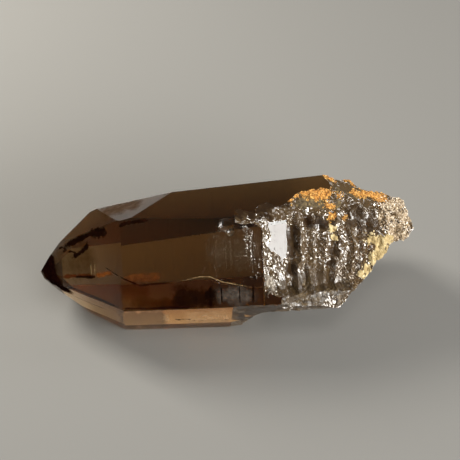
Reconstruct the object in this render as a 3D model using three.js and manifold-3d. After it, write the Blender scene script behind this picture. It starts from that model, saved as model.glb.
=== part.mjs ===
// A lemurian quartz crystal: one smoky point, lying on a prism face.
// Millimetres. +X runs along the crystal axis to the broken root, +Z is up.

import * as THREE from "three";
import { mergeVertices } from "three/addons/utils/BufferGeometryUtils.js";
import Module from "manifold-3d";

const wasm = await Module();
wasm.setup();

// ---- Crystal faces ------------------------------------------------------------
// around: direction of the face about the axis (0 = front, 90 = top, 180 = back).
// lean:   tilt of the face towards the tip (38.2 is a true rhombohedral face).
// out:    distance of the face plane from the middle of the axis.

const PRISM_FACES = [
  { name: "top", around: 90, lean: -0.6, out: 12.34 },
  { name: "front upper", around: 30, lean: 4.1, out: 9.82 },
  { name: "front lower", around: -30, lean: 2.3, out: 11.14 },
  { name: "rest", around: -90, lean: 0, out: 12.2 },
  { name: "back lower", around: -150, lean: 1.2, out: 15.2 },
  { name: "back upper", around: 149.7, lean: 5, out: 10.58 },
];

const TIP_FACES = [
  { name: "tip front upper", around: 30, lean: 38.2, out: 18.67 },
  { name: "tip top", around: 90, lean: 38.2, out: 21.69 },
  { name: "tip back upper", around: 150, lean: 38.2, out: 21.95 },
  { name: "tip front lower", around: -31.7, lean: 34, out: 19.69 },
  { name: "tip bottom", around: -90, lean: 38.2, out: 25.28 },
  { name: "tip back lower", around: -150, lean: 38.2, out: 28.2 },
  { name: "edge bevel", around: -20.8, lean: 35.9, out: 20.21 },
  { name: "steep end facet", around: 26.9, lean: 50.1, out: 23.8 },
  { name: "small end facet", around: -84, lean: 52, out: 29.3 },
  { name: "frosted bevel", around: 105.5, lean: 12.7, out: 14.93 },
];

const BLANK_START = -42;
const BLANK_LENGTH = 80;
const BLANK_WIDTH = 60;
const CUTTER_SIZE = 140;
const CUTTER_DEPTH = 50;

// ---- Broken root ---------------------------------------------------------------
// Each break is a rough slab that bites into the crystal below its own plane.
// start and length run along the axis, side and width run across it.

const FRONT_BREAK = {
  around: 30, lean: -12.6, out: 11.28,
  start: 2.9, length: 33.4, side: 1, width: 30, across: 22, along: 42, seed: 3,
};
const SHOULDER_BREAK = {
  around: 71.3, lean: -7.2, out: 12.7,
  start: -1, length: 32, side: 0, width: 16, across: 14, along: 27, seed: 11,
};
const TOP_BREAK = {
  around: 95.7, lean: -23, out: 18.57,
  start: 3, length: 32, side: 0, width: 30, across: 20, along: 20, seed: 17,
};
const END_BREAK = {
  around: 129.8, lean: -81.1, out: 33.7,
  start: -20, length: 40, side: 0, width: 48, across: 32, along: 27, seed: 23,
};
const BACK_BREAK = {
  around: 141.8, lean: -17.5, out: 17.81,
  start: 0, length: 40, side: 0, width: 42, across: 25, along: 24, seed: 27,
};
const UNDER_BREAK = {
  around: -73.3, lean: -37.3, out: 16.25,
  start: -14, length: 52, side: 3, width: 46, across: 28, along: 32, seed: 31,
};
const LOWER_BREAK = {
  around: -30, lean: 2.3, out: 10.95,
  start: 0.1, length: 20, side: 0, width: 18, across: 12, along: 16, seed: 41,
};
const UNDERCUT = {
  around: -50.2, lean: 0, out: 10.1,
  start: -1, length: 36, side: 0, width: 26, across: 16, along: 28, seed: 47,
};
const SLAB_THICKNESS = 26;
const UNDERCUT_RAMP = { rise: 3.2, from: 0, to: 6.4 };

// Ledges of the front break, measured along it from the first step.
const FIRST_STEP_DEPTH = 0.9;
const CHATTERED_STRIP = 0.7;
const GLOSSY_FACET_END = 4.6;
const GLOSSY_FACET_FOOT = 1.9;
const TROUGH_LENGTH = 1.6;
const TROUGH_DEPTH = 1.1;
const RIB_PITCH = 2.4;
const RIB_RISE = 1.1;
const LOBE_TOP = -4.2;
const LOBE_SWELL = 1.0;

// ---- Marks on the faces --------------------------------------------------------
// Growth step on the front upper face: points along and across that face.
const STEP_OUTLINE = [
  [-22.0, 0.9], [-19.3, -1.1], [-17.6, -2.0], [-16.2, -2.5], [-12.3, -2.3], [-9.7, -2.4], [-8.6, -2.1],
  [-4.9, -1.9], [-3.2, -2.3], [-1.5, -3.0], [0.5, -3.2], [3.4, -3.8], [6.6, -3.9],
];
const STEP_DEPTH = 0.3;
const STEP_REACH = 10;

// Ladder lines: shallow grooves straight across a face, each of its own length and width.
const LADDER_WIDTH = 0.45;
const LADDER_DEPTH = 0.045;
const LADDERS = [
  { face: 1, at: [-6.4, -4.9, -2.2, -0.8, 0.9, 2.6, 4.1], length: 12, side: 2.2 },
  { face: 2, at: [-14.6, -13.1, -6.2, -2.4], length: 11, side: -1.4 },
  { face: 4, at: [-14.5, -12.8, -9, -6.6, -2.2, 1.5, 4.4, 8.8, 12.2], length: 7.4, side: 0.9 },
  { face: 5, at: [-15.5, -13.6, -9.3, -6.8, -1.2, 2.1, 3.9, 6.1, 9.1, 12.6], length: 17, side: 1.7 },
];

// Conchoidal chip on the front upper edge, with a small pit beside it.
const CHIP = { along: -0.3, across: 7.5, radius: 1.4, squash: 0.32 };
const PIT = { along: 0.4, across: 6.2, radius: 0.8, squash: 0.8 };

// ---- Helpers --------------------------------------------------------------------

const rad = THREE.MathUtils.degToRad;

function solid(geometry) {
  const bare = geometry.clone();
  bare.deleteAttribute("normal");
  bare.deleteAttribute("uv");
  const merged = mergeVertices(bare, 1e-5);
  const mesh = new wasm.Mesh({
    numProp: 3,
    vertProperties: new Float32Array(merged.attributes.position.array),
    triVerts: new Uint32Array(merged.index.array),
  });
  return new wasm.Manifold(mesh);
}

function outward(around, lean) {
  const flat = Math.cos(rad(lean));
  return new THREE.Vector3(
    -Math.sin(rad(lean)),
    -flat * Math.cos(rad(around)),
    flat * Math.sin(rad(around)),
  );
}

// Frame of a face: local X along the crystal, local Y across, local Z outward.
function faceFrame(face) {
  const z = outward(face.around, face.lean);
  const x = new THREE.Vector3(1, 0, 0).addScaledVector(z, -z.x).normalize();
  const y = new THREE.Vector3().crossVectors(z, x);
  const frame = new THREE.Matrix4().makeBasis(x, y, z);
  return frame.setPosition(z.multiplyScalar(face.out));
}

function hash(i, j, seed) {
  const wave = Math.sin(i * 127.1 + j * 311.7 + seed * 74.7) * 43758.5453;
  return wave - Math.floor(wave);
}

// Smooth value noise between -1 and 1.
function noise(x, y, seed) {
  const i = Math.floor(x);
  const j = Math.floor(y);
  const fx = THREE.MathUtils.smoothstep(x - i, 0, 1);
  const fy = THREE.MathUtils.smoothstep(y - j, 0, 1);
  const low = THREE.MathUtils.lerp(hash(i, j, seed), hash(i + 1, j, seed), fx);
  const high = THREE.MathUtils.lerp(hash(i, j + 1, seed), hash(i + 1, j + 1, seed), fx);
  return 2 * THREE.MathUtils.lerp(low, high, fy) - 1;
}

// A block whose underside follows height(along, across) around the break plane.
function roughSlab(spec, height) {
  const box = new THREE.BoxGeometry(
    spec.length, spec.width, SLAB_THICKNESS, spec.along, spec.across, 1,
  );
  box.translate(spec.start + spec.length / 2, spec.side, SLAB_THICKNESS / 2);
  box.deleteAttribute("normal");
  box.deleteAttribute("uv");
  const slab = mergeVertices(box, 1e-5);
  const cell = spec.length / spec.along;
  const points = slab.attributes.position;
  for (let k = 0; k < points.count; k += 1) {
    if (points.getZ(k) > 0.001) continue;
    const u = points.getX(k);
    const v = points.getY(k);
    const i = Math.round((u - spec.start) / cell);
    const inside = i > 0 && i < spec.along;
    const shiftU = inside ? 0.34 * cell * (2 * hash(i, Math.round(v * 9), spec.seed) - 1) : 0;
    const shiftV = inside ? 0.34 * cell * (2 * hash(Math.round(v * 9), i, spec.seed + 5) - 1) : 0;
    points.setXYZ(k, u + shiftU, v + shiftV, height(u + shiftU, v + shiftV));
  }
  slab.applyMatrix4(faceFrame(spec));
  return solid(slab);
}

function rough(u, v, seed, coarse, fine) {
  return coarse * noise(u / 3.1, v / 3.1, seed) + fine * noise(u / 1.3, v / 1.3, seed + 1);
}

// ---- The whole point, before it was broken ---------------------------------------

function wholeCrystal() {
  const blank = new THREE.BoxGeometry(BLANK_LENGTH, BLANK_WIDTH, BLANK_WIDTH);
  blank.translate(BLANK_START + BLANK_LENGTH / 2, 0, 0);
  let body = solid(blank);
  for (const face of [...PRISM_FACES, ...TIP_FACES]) {
    const cutter = new THREE.BoxGeometry(CUTTER_SIZE, CUTTER_SIZE, CUTTER_DEPTH);
    cutter.translate(0, 0, CUTTER_DEPTH / 2);
    cutter.applyMatrix4(faceFrame(face));
    body = body.subtract(solid(cutter));
  }
  return body;
}

// ---- The ledges and lobes of the broken root ---------------------------------------

function frontBreakHeight(u, v) {
  const from = u - FRONT_BREAK.start - 0.08 * v;
  const wobble = 0.35 * noise(v / 2.2, 0.5, 5);
  const past = from + wobble - GLOSSY_FACET_END;
  const chattered = rough(u, v, FRONT_BREAK.seed, 0.35, 0.4);
  const glossy = from > CHATTERED_STRIP && v > GLOSSY_FACET_FOOT;
  let height = -FIRST_STEP_DEPTH;
  if (past < 0 && !glossy) height += 0.8 * chattered;
  if (past > 0 && past < TROUGH_LENGTH) height -= TROUGH_DEPTH * (past / TROUGH_LENGTH);
  if (past >= TROUGH_LENGTH) {
    const turns = (past - TROUGH_LENGTH + 0.8 * noise(u / 5, v / 6, 8)) / RIB_PITCH;
    const along = turns - Math.floor(turns);
    height += RIB_RISE * (0.6 - along) + chattered;
  }
  const onLobe = from > 0.8 ? THREE.MathUtils.smoothstep(LOBE_TOP - v, 0, 1.4) : 0;
  const lobe = LOBE_SWELL * (0.6 + 0.3 * noise(u / 2.4, v / 2.4, 9));
  return THREE.MathUtils.lerp(height, lobe, onLobe);
}

function undercutHeight(u, v) {
  const ramp = THREE.MathUtils.smoothstep(u, UNDERCUT_RAMP.from, UNDERCUT_RAMP.to);
  return UNDERCUT_RAMP.rise * (1 - ramp) + rough(u, v, UNDERCUT.seed, 0.35, 0.2);
}

function breakRoot(body) {
  const bites = [
    roughSlab(FRONT_BREAK, frontBreakHeight),
    roughSlab(SHOULDER_BREAK, (u, v) => rough(u, v, 11, 0.45, 0.35)),
    roughSlab(TOP_BREAK, (u, v) => rough(u, v, 17, 0.8, 0.4)),
    roughSlab(BACK_BREAK, (u, v) => rough(u, v, 27, 0.7, 0.4)),
    roughSlab(END_BREAK, (u, v) => rough(u, v, 23, 0.9, 0.5)),
    roughSlab(UNDER_BREAK, (u, v) => rough(u, v, 31, 0.8, 0.4)),
    roughSlab(LOWER_BREAK, (u, v) => rough(u, v, 41, 0.15, 0.15)),
    roughSlab(UNDERCUT, undercutHeight),
  ];
  let left = body;
  for (const bite of bites) {
    left = left.subtract(bite);
  }
  return left;
}

// ---- Growth step, ladder lines and chips ---------------------------------------------

function growthStep() {
  const outline = new THREE.Shape();
  const [first] = STEP_OUTLINE;
  const last = STEP_OUTLINE[STEP_OUTLINE.length - 1];
  outline.moveTo(first[0], first[1]);
  for (const [along, across] of STEP_OUTLINE.slice(1)) {
    outline.lineTo(along, across);
  }
  outline.lineTo(last[0], last[1] - STEP_REACH);
  outline.lineTo(first[0], first[1] - STEP_REACH);
  const slab = new THREE.ExtrudeGeometry(outline, { depth: 4, bevelEnabled: false });
  slab.translate(0, 0, -STEP_DEPTH);
  slab.applyMatrix4(faceFrame(PRISM_FACES[1]));
  return solid(slab);
}

function ladderLine(ladder, along) {
  const groove = new THREE.CylinderGeometry(1, 1, ladder.length, 4);
  const length = 0.55 + 0.45 * hash(along, ladder.face, 61);
  const shift = ladder.length * (1 - length) * (hash(along, ladder.face, 62) - 0.5);
  const size = 0.5 + hash(along, ladder.face, 63);
  groove.scale(LADDER_WIDTH * size, length, LADDER_DEPTH * size);
  groove.translate(along, ladder.side + shift, 0);
  groove.applyMatrix4(faceFrame(PRISM_FACES[ladder.face]));
  return solid(groove);
}

function scoop(face, chip, detail) {
  const bowl = new THREE.IcosahedronGeometry(chip.radius, detail);
  bowl.scale(1, 1, chip.squash ?? 0.6);
  bowl.translate(chip.along, chip.across, 0);
  bowl.applyMatrix4(faceFrame(face));
  return solid(bowl);
}

function markFaces(body) {
  let marked = body.subtract(growthStep());
  for (const ladder of LADDERS) {
    for (const along of ladder.at) {
      marked = marked.subtract(ladderLine(ladder, along));
    }
  }
  marked = marked.subtract(scoop(PRISM_FACES[1], CHIP, 3));
  marked = marked.subtract(scoop(PRISM_FACES[1], PIT, 1));
  return marked;
}

// ---- One closed piece, standing on its rest face ---------------------------------------

function crystalGeometry() {
  const mesh = markFaces(breakRoot(wholeCrystal())).getMesh();
  const geometry = new THREE.BufferGeometry();
  const stride = mesh.numProp;
  const count = mesh.vertProperties.length / stride;
  const points = new Float32Array(count * 3);
  for (let k = 0; k < count; k += 1) {
    points[3 * k] = mesh.vertProperties[stride * k];
    points[3 * k + 1] = mesh.vertProperties[stride * k + 1];
    points[3 * k + 2] = mesh.vertProperties[stride * k + 2];
  }
  geometry.setAttribute("position", new THREE.BufferAttribute(points, 3));
  geometry.setIndex(new THREE.BufferAttribute(new Uint32Array(mesh.triVerts), 1));
  geometry.computeBoundingBox();
  const { min, max } = geometry.boundingBox;
  geometry.translate(-(min.x + max.x) / 2, -(min.y + max.y) / 2, -min.z);
  geometry.computeVertexNormals();
  return geometry;
}

const smokyQuartz = new THREE.MeshStandardMaterial({ color: 0x6b4a2f, roughness: 0.15 });
const crystal = new THREE.Mesh(crystalGeometry(), smokyQuartz);
crystal.name = "crystal";

const part = new THREE.Group();
part.name = "lemurian_quartz_crystal";
part.add(crystal);

export default part;
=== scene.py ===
import math

import bmesh
import bpy
import numpy as np
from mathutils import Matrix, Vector, noise


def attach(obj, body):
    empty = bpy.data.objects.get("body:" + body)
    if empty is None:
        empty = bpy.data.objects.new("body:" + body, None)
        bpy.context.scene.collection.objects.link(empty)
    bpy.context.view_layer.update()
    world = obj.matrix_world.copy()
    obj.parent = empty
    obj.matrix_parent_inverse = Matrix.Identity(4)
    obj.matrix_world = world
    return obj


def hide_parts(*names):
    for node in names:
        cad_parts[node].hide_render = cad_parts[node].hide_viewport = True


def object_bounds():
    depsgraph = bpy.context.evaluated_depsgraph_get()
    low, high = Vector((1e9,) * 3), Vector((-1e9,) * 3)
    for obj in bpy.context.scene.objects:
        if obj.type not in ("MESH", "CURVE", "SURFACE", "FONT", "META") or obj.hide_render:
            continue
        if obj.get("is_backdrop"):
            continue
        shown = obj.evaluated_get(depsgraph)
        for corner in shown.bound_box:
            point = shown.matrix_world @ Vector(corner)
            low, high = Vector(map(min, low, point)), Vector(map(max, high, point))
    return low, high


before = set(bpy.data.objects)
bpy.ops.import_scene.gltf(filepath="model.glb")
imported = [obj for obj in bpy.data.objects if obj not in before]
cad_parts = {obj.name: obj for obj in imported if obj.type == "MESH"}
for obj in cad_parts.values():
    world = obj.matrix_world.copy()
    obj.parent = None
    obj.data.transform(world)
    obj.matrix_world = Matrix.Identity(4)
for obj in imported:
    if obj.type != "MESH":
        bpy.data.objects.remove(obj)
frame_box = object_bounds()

# %% [markdown]
# # A smoky lemurian quartz point
# The point lies on one prism face with its tip to the left and its broken root to the right.
# The CAD model gives the true faces, ledges and chips, and nothing here moves them.
# This lesson dresses it in four layers, from the inside out:
# - veils under the faces, which are thin clouds and healed cracks, and dull films on them; many of both
#   are painted shade, and a few are painted light and painted highlights
# - clear smoky quartz, polished where it grew and etched where it turns away
# - the glittering break at the root
# - what the ground left on it: iron crust, cream clay, sugary quartz and loose grains
#
# All sizes below are millimetres, and the scene itself is in metres.

# %% Units
MM = 0.001
MM_IN_A_METRE = 1000.0
scene = bpy.context.scene

# %% [markdown]
# ## Camera
# A long lens from far away keeps the long prism edges nearly parallel.
# The camera looks down by 40 degrees, so the top face, the front face and the lower strip all show.
# A lower camera would hide the top face, and a higher one would lose the strip.

# %% Camera
LOOK_AT = (1.5, 6.9, 11.0)
TURNED = -5
RAISED = 40
AWAY = 264
LENS = 110
SENSOR_WIDTH = 36
NEAREST_METRES = 0.01
camera_data = bpy.data.cameras.new("camera")
camera_data.lens = LENS
camera_data.sensor_width = SENSOR_WIDTH
camera_data.clip_start = NEAREST_METRES
camera = bpy.data.objects.new("camera", camera_data)
scene.collection.objects.link(camera)
turned = math.radians(TURNED)
raised = math.radians(RAISED)
toward_camera = Vector((
    math.sin(turned) * math.cos(raised), -math.cos(turned) * math.cos(raised), math.sin(raised)))
camera.location = (Vector(LOOK_AT) + toward_camera * AWAY) * MM
camera.rotation_euler = (-toward_camera).to_track_quat("-Z", "Y").to_euler()
scene.camera = camera
print("camera: %d mm lens, %d mm away, %d degrees up" % (LENS, AWAY, RAISED))

# %% [markdown]
# ## Floor
# The floor is part of the look, because a clear crystal shows what lies behind and under it.
# A white floor would wash the brown out and mirror as grey fog in the tip facets.
# A black one would leave the thin lower strip without the light that makes it amber.
# So it is a warm light grey, a hair below the crystal so that the two never share a plane.

# %% Floor
FLOOR_GAP = 0.05
FLOOR_METRES = 4
FLOOR_COLOUR = (0.26, 0.255, 0.242, 1)
FLOOR_ROUGHNESS = 0.9
bpy.ops.mesh.primitive_plane_add(size=FLOOR_METRES, location=(0, 0, -FLOOR_GAP * MM))
floor = bpy.context.object
floor.name = "floor"
pale_floor = bpy.data.materials.new("pale_floor")
pale_floor.use_nodes = True
shader = pale_floor.node_tree.nodes["Principled BSDF"]
shader.inputs["Base Color"].default_value = FLOOR_COLOUR
shader.inputs["Roughness"].default_value = FLOOR_ROUGHNESS
floor.data.materials.append(pale_floor)
floor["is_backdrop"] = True
print("floor:", FLOOR_METRES, "m wide, its top", FLOOR_GAP, "mm below the crystal")

# %% [markdown]
# ## Lights
# Flat glassy faces show one part of the room each, so every panel has one job.
# - The front window is what the step facets of the break mirror, and it makes the glitter.
# - The overhead and side panels only lift the shadows a little.
# - The pool lamp brightens the floor behind the tip, and that light comes through the body.
# - The low window stands behind, and only the narrow lower strip bends it towards the eye.
#
# One big dome would be simpler, but then every face would be equally grey.
# The glow of a panel is its brightness, so its size can change without changing a highlight.

# %% Lights
ROOM_COLOUR = (0.1, 0.095, 0.085, 1)
world = bpy.data.worlds.new("studio")
scene.world = world
world.use_nodes = True
room = world.node_tree.nodes["Background"]
room.inputs["Color"].default_value = ROOM_COLOUR
room.inputs["Strength"].default_value = 1.0


def panel_light(name, place, aim, width, height, glow, colour):
    data = bpy.data.lights.new(name, "AREA")
    data.shape = "RECTANGLE"
    data.size = width * MM
    data.size_y = height * MM
    data.energy = glow * math.pi * width * height * MM * MM
    data.color = colour
    lamp = bpy.data.objects.new(name, data)
    lamp.location = Vector(place) * MM
    lamp.rotation_euler = (Vector(aim) - Vector(place)).to_track_quat("-Z", "Y").to_euler()
    scene.collection.objects.link(lamp)
    print("%s: %d x %d mm, glow %.1f" % (name, width, height, glow))


panel_light("front_window", (380, -430, 185), (5, 0, 12), 500, 220, 16, (1, 0.985, 0.945))
panel_light("overhead_panel", (60, -230, 480), (5, 0, 15), 280, 180, 4, (1, 0.98, 0.95))
panel_light("side_panel", (520, 60, 260), (5, 0, 15), 240, 240, 4, (0.95, 0.97, 1))
panel_light("pool_lamp", (-170, 150, 190), (-90, 90, 0), 120, 120, 21, (1, 0.96, 0.88))
panel_light("low_window", (-20, 520, 42), (0, 0, 10), 640, 60, 3.1, (1, 0.93, 0.84))

# %% [markdown]
# ## The crystal out of the CAD model
# The part's own triangles are the start, so every face stays where it was designed.
# A remesh would round the crisp edges, and they are what makes a crystal look hard.
# A copy in millimetres is easier to reason about, and the CAD object itself is left as it is.

# %% The CAD mesh, copied
WELD = 0.001
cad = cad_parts["crystal"]
solid = bmesh.new()
solid.from_mesh(cad.data)
for v in solid.verts:
    v.co = (cad.matrix_world @ v.co) / MM
bmesh.ops.remove_doubles(solid, verts=solid.verts, dist=WELD)
print("crystal from the CAD model:", len(solid.faces), "triangles")

# %% [markdown]
# ## Grown faces and broken ones
# Triangles that share one plane over some square millimetres grew that way.
# Picking the faces by hand would need a list that breaks with every change to the model.
# So the planes are found by their area, and each one needed later is looked up by its facing.
# A flat that looks towards the root is a cleavage of the break, and it doesn't count.

# %% Faces that grew flat
FLAT_AREA = 7.5
FLAT_DEPTH = 0.12
SAME_WAY = 0.99996
SAME_OUT = 0.03
GROOVE_WAY = 0.93
TOWARD_ROOT = 0.5


def find_flats(faces):
    flats = []
    for f in faces:
        out = f.normal.dot(f.verts[0].co)
        for flat in flats:
            if f.normal.dot(flat["way"]) > SAME_WAY and abs(out - flat["out"]) < SAME_OUT:
                flat["area"] += f.calc_area()
                break
        else:
            flats.append({"way": f.normal.copy(), "out": out, "area": f.calc_area()})
    return [flat for flat in flats if flat["area"] > FLAT_AREA and flat["way"].x < TOWARD_ROOT]


flats = find_flats(solid.faces)
for flat in flats:
    print("flat face of %.0f mm2 facing (%.2f, %.2f, %.2f)" % (flat["area"], *flat["way"]))


def is_outermost(flat):
    return all(flat["way"].dot(v.co) < flat["out"] + SAME_OUT for v in solid.verts)


outermost = [flat for flat in flats if is_outermost(flat)]
print(len(flats), "flat faces,", len(outermost), "of them outermost")

# %% [markdown]
# ## Faces that are used by name
# The front upper face has two levels, because the growth step crosses it.
# The foot is the level below the step, a third of a millimetre further in.
# Both face the same way, so the foot is told apart by how far out it lies.

# %% Faces that are used by name
PARALLEL = 0.999


def flat_facing(x, y, z):
    return max(flats, key=lambda flat: flat["way"].dot(Vector((x, y, z)).normalized()))


FRONT_UPPER = flat_facing(-0.07, -0.86, 0.5)
FRONT_LOWER = flat_facing(-0.04, -0.87, -0.5)
front_levels = [flat for flat in flats if flat["way"].dot(FRONT_UPPER["way"]) > PARALLEL]
FRONT_FOOT = min(front_levels, key=lambda flat: flat["out"])
print("the growth step is %.2f mm high" % (FRONT_UPPER["out"] - FRONT_FOOT["out"]))
TIP_FRONT = flat_facing(-0.62, -0.68, 0.39)
TIP_LOWER = flat_facing(-0.56, -0.71, -0.44)
END_FACET = flat_facing(-0.77, -0.57, 0.29)
FROSTED_BEVEL = flat_facing(-0.22, 0.26, 0.94)

# %% [markdown]
# ## Which triangles belong to the break
# Everything that didn't grow flat is break.
# The ladder lines and the growth step are cut so shallow that they still lie within about a tenth
# of a millimetre of a grown face, so they stay clear quartz.
# The chip on the upper edge is deeper, and it is let in by its place, because it is glassy too.

# %% Which triangles belong to the break
CHIP_AT = Vector((0.0, -5.6, 23.7))
CHIP_REACH = 2.4


def grew_flat(f):
    if all((v.co - CHIP_AT).length < CHIP_REACH for v in f.verts):
        return True
    for flat in flats:
        near = all(abs(flat["way"].dot(v.co) - flat["out"]) < FLAT_DEPTH for v in f.verts)
        if near and f.normal.dot(flat["way"]) > GROOVE_WAY:
            return True
    return False


broken = solid.faces.layers.int.new("broken")
for f in solid.faces:
    f[broken] = 0 if grew_flat(f) else 1
print("triangles on the break:", sum(f[broken] for f in solid.faces))

# %% [markdown]
# ## A finer mesh for the break
# Broken quartz is a mass of tiny shells and steps.
# The CAD ledges are cut finer here, so that noise can push them about by a fifth of a millimetre.
# A bump map alone would leave the outline of the break smooth, and it shows against the floor.

# %% Finer triangles on the break
CUTS = 3
LONG_ENOUGH = 0.5
edges = {e for f in solid.faces if f[broken] for e in f.edges if e.calc_length() > LONG_ENOUGH}
bmesh.ops.subdivide_edges(solid, edges=list(edges), cuts=CUTS, use_grid_fill=True)
bmesh.ops.triangulate(solid, faces=solid.faces[:])
solid.normal_update()
print("after the cuts:", len(solid.faces), "triangles")

# %% [markdown]
# ## Calm places
# The break isn't rough all over: between its ledges lie glassy troughs, dark windows into the
# body, a smear and two dull lobes below.
# Each kind says how calm it is and how hazy, and lists its places by a middle and a reach.
# The two numbers go onto the corners of the mesh, so the crumple and the shader both follow them.

# %% Calm places
TROUGH = (1.0, 0.15)
STRIP_END = (1.0, 0.1)
DARK_GLASS = (1.0, 0.0)
SMEAR = (0.9, 0.2)
LOBE = (0.85, 0.5)
CALM = [
    (TROUGH, [((11.0, -6.4, 20.5), 1.5), ((11.1, -7.6, 18.0), 1.4), ((10.9, -9.2, 15.0), 1.4)]),
    (TROUGH, [((19.5, -6.3, 18.4), 1.1), ((18.9, -7.1, 16.4), 1.2), ((18.3, -8.2, 14.9), 1.1)]),
    (DARK_GLASS, [((14.3, -5.1, 22.0), 1.3), ((16.2, -4.8, 21.5), 1.4), ((17.9, -4.9, 21.0), 1.3)]),
    (DARK_GLASS, [((1.5, -2.6, 24.4), 2.8), ((4.2, -3.0, 24.2), 2.4), ((7.4, -2.2, 24.3), 2.2)]),
    (DARK_GLASS, [((10.2, -2.0, 24.2), 1.6)]),
    (DARK_GLASS, [((2.3, -4.3, 24.0), 1.7), ((4.6, -4.7, 23.7), 1.8), ((6.8, -4.6, 23.5), 1.5)]),
    (SMEAR, [((23.2, -3.1, 21.2), 2.0), ((25.0, -3.7, 20.0), 2.0), ((26.4, -4.6, 18.8), 1.8)]),
    (LOBE, [((9.7, -11.5, 13.3), 2.0), ((12.4, -11.0, 13.1), 2.4), ((16.1, -10.6, 11.9), 2.6)]),
    (LOBE, [((10.5, -13.0, 11.0), 2.2), ((15.0, -12.6, 10.0), 2.4), ((19.5, -11.3, 11.0), 2.0)]),
    (STRIP_END, [((1.5, -11.0, 5.5), 3.2), ((4.5, -12.4, 8.0), 3.0)]),
    (STRIP_END, [((2.5, -13.4, 10.2), 2.4), ((7.0, -13.2, 9.4), 2.4)]),
]
CALM_EDGE = 2.2
CALM_REACH = 1.15
RAGGED_OUTLINE = ((0.7, 1.1), (0.3, 3.1))


def calmness(p):
    calm, haze = 0.0, 0.0
    (broad, coarse), (slight, fine) = RAGGED_OUTLINE
    ragged = broad * noise.noise(p * coarse) + slight * noise.noise(p * fine)
    for (most, pale), places in CALM:
        for place, reach in places:
            far = (p - Vector(place)).length / reach + ragged
            here = most * min(1.0, CALM_EDGE * (CALM_REACH - far))
            if here > calm:
                calm, haze = here, pale * here
    return calm, haze


calm_at = solid.verts.layers.float.new("calm")
haze_at = solid.verts.layers.float.new("haze")
for v in solid.verts:
    v[calm_at], v[haze_at] = calmness(v.co)
calm_corners = sum(v[calm_at] > 0 for v in solid.verts)
print(calm_corners, "of", len(solid.verts), "corners are calm")

# %% [markdown]
# ## Crumple
# Every corner that lies wholly in the break moves in or out, and a little sideways.
# A coarse wave and a fine one add up, because one size alone looks like hammered metal.
# A calm place keeps only a small part of the movement, so it stays glassy.

# %% Crumple
COARSE_LIFT = (0.13, 1.9)
FINE_LIFT = (0.11, 4.3)
SIDEWAYS = (0.12, 3.7)
COARSE_SEED = Vector((3, 7, 1))
SIDE_SEEDS = [Vector((0, 0, 0)), Vector((9, 0, 0)), Vector((0, 9, 0))]
STILLED = 0.85


def crumpled(v, rough):
    p = v.co
    side = Vector([noise.noise(p * SIDEWAYS[1] + seed) for seed in SIDE_SEEDS])
    coarse = COARSE_LIFT[0] * noise.noise(p * COARSE_LIFT[1] + COARSE_SEED)
    fine = FINE_LIFT[0] * noise.noise(p * FINE_LIFT[1])
    return p + rough * (v.normal * (coarse + fine) + SIDEWAYS[0] * side)


inside_break = [v for v in solid.verts if all(f[broken] for f in v.link_faces)]
new_places = [crumpled(v, 1.0 - STILLED * v[calm_at]) for v in inside_break]
farthest = max((v.co - place).length for v, place in zip(inside_break, new_places))
for v, place in zip(inside_break, new_places):
    v.co = place
solid.normal_update()
print(len(inside_break), "corners moved by up to %.2f mm" % farthest)

# %% [markdown]
# ## One finish for each face
# Natural faces are polished, the small bevel on top is frosted, and the faces that lie down or
# turn back are a little etched.
# The etching matters from the front as well: a polished back mirrors in hard black wedges, and an
# etched one gives the soft brown depth of a real point.
# A number on every triangle carries that into the shader, which is lighter than a material each.

# %% Finish numbers
POLISHED = 0.03
FROSTED = 0.42
ETCHED = 0.4
CHIPPED = 0.18
FACES_BACK = 0.4
FACES_DOWN = -0.8
SAME_FACE = 0.99
matte = solid.faces.layers.float.new("matte")
for f in solid.faces:
    f.smooth = False
    f.material_index = f[broken]
    turned_back = f.normal.y > FACES_BACK or f.normal.z < FACES_DOWN
    in_chip = (f.calc_center_median() - CHIP_AT).length < CHIP_REACH
    if f.normal.dot(FROSTED_BEVEL["way"]) > SAME_FACE:
        f[matte] = FROSTED
    elif in_chip and f.normal.dot(FRONT_UPPER["way"]) < SAME_FACE:
        f[matte] = CHIPPED
    else:
        f[matte] = ETCHED if turned_back else POLISHED
print(sum(f[matte] < CHIPPED for f in solid.faces), "polished triangles")

# %% [markdown]
# ## The finished mesh
# The crusts and grains below need to know the surface, so its corners, facing and areas are kept.
# After that the copy goes back to metres and becomes the mesh of the quartz point.

# %% The finished mesh
surface = {
    "corners": np.array([[list(v.co) for v in f.verts] for f in solid.faces]),
    "broken": np.array([f[broken] for f in solid.faces]),
    "out": np.array([list(f.normal) for f in solid.faces]),
    "area": np.array([f.calc_area() for f in solid.faces]),
}
surface["middle"] = surface["corners"].mean(axis=1)
print("quartz point:", len(solid.faces), "triangles")
for v in solid.verts:
    v.co = v.co * MM
mesh = bpy.data.meshes.new("quartz_point")
solid.to_mesh(mesh)
solid.free()
crystal = bpy.data.objects.new("quartz_point", mesh)
scene.collection.objects.link(crystal)


# %% [markdown]
# ## A small helper for shaders
# Add makes a node and joins it in one call, and fill does the same for a node that is there, so
# that each material reads as a short list of steps.
# An input named i0 or i1 is a socket by its number, for nodes that repeat a name.
# Sizes go in as millimetres, and pattern turns them into the scale that a texture wants.
# Carried reads a number that the mesh carries on its corners or faces.

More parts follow.
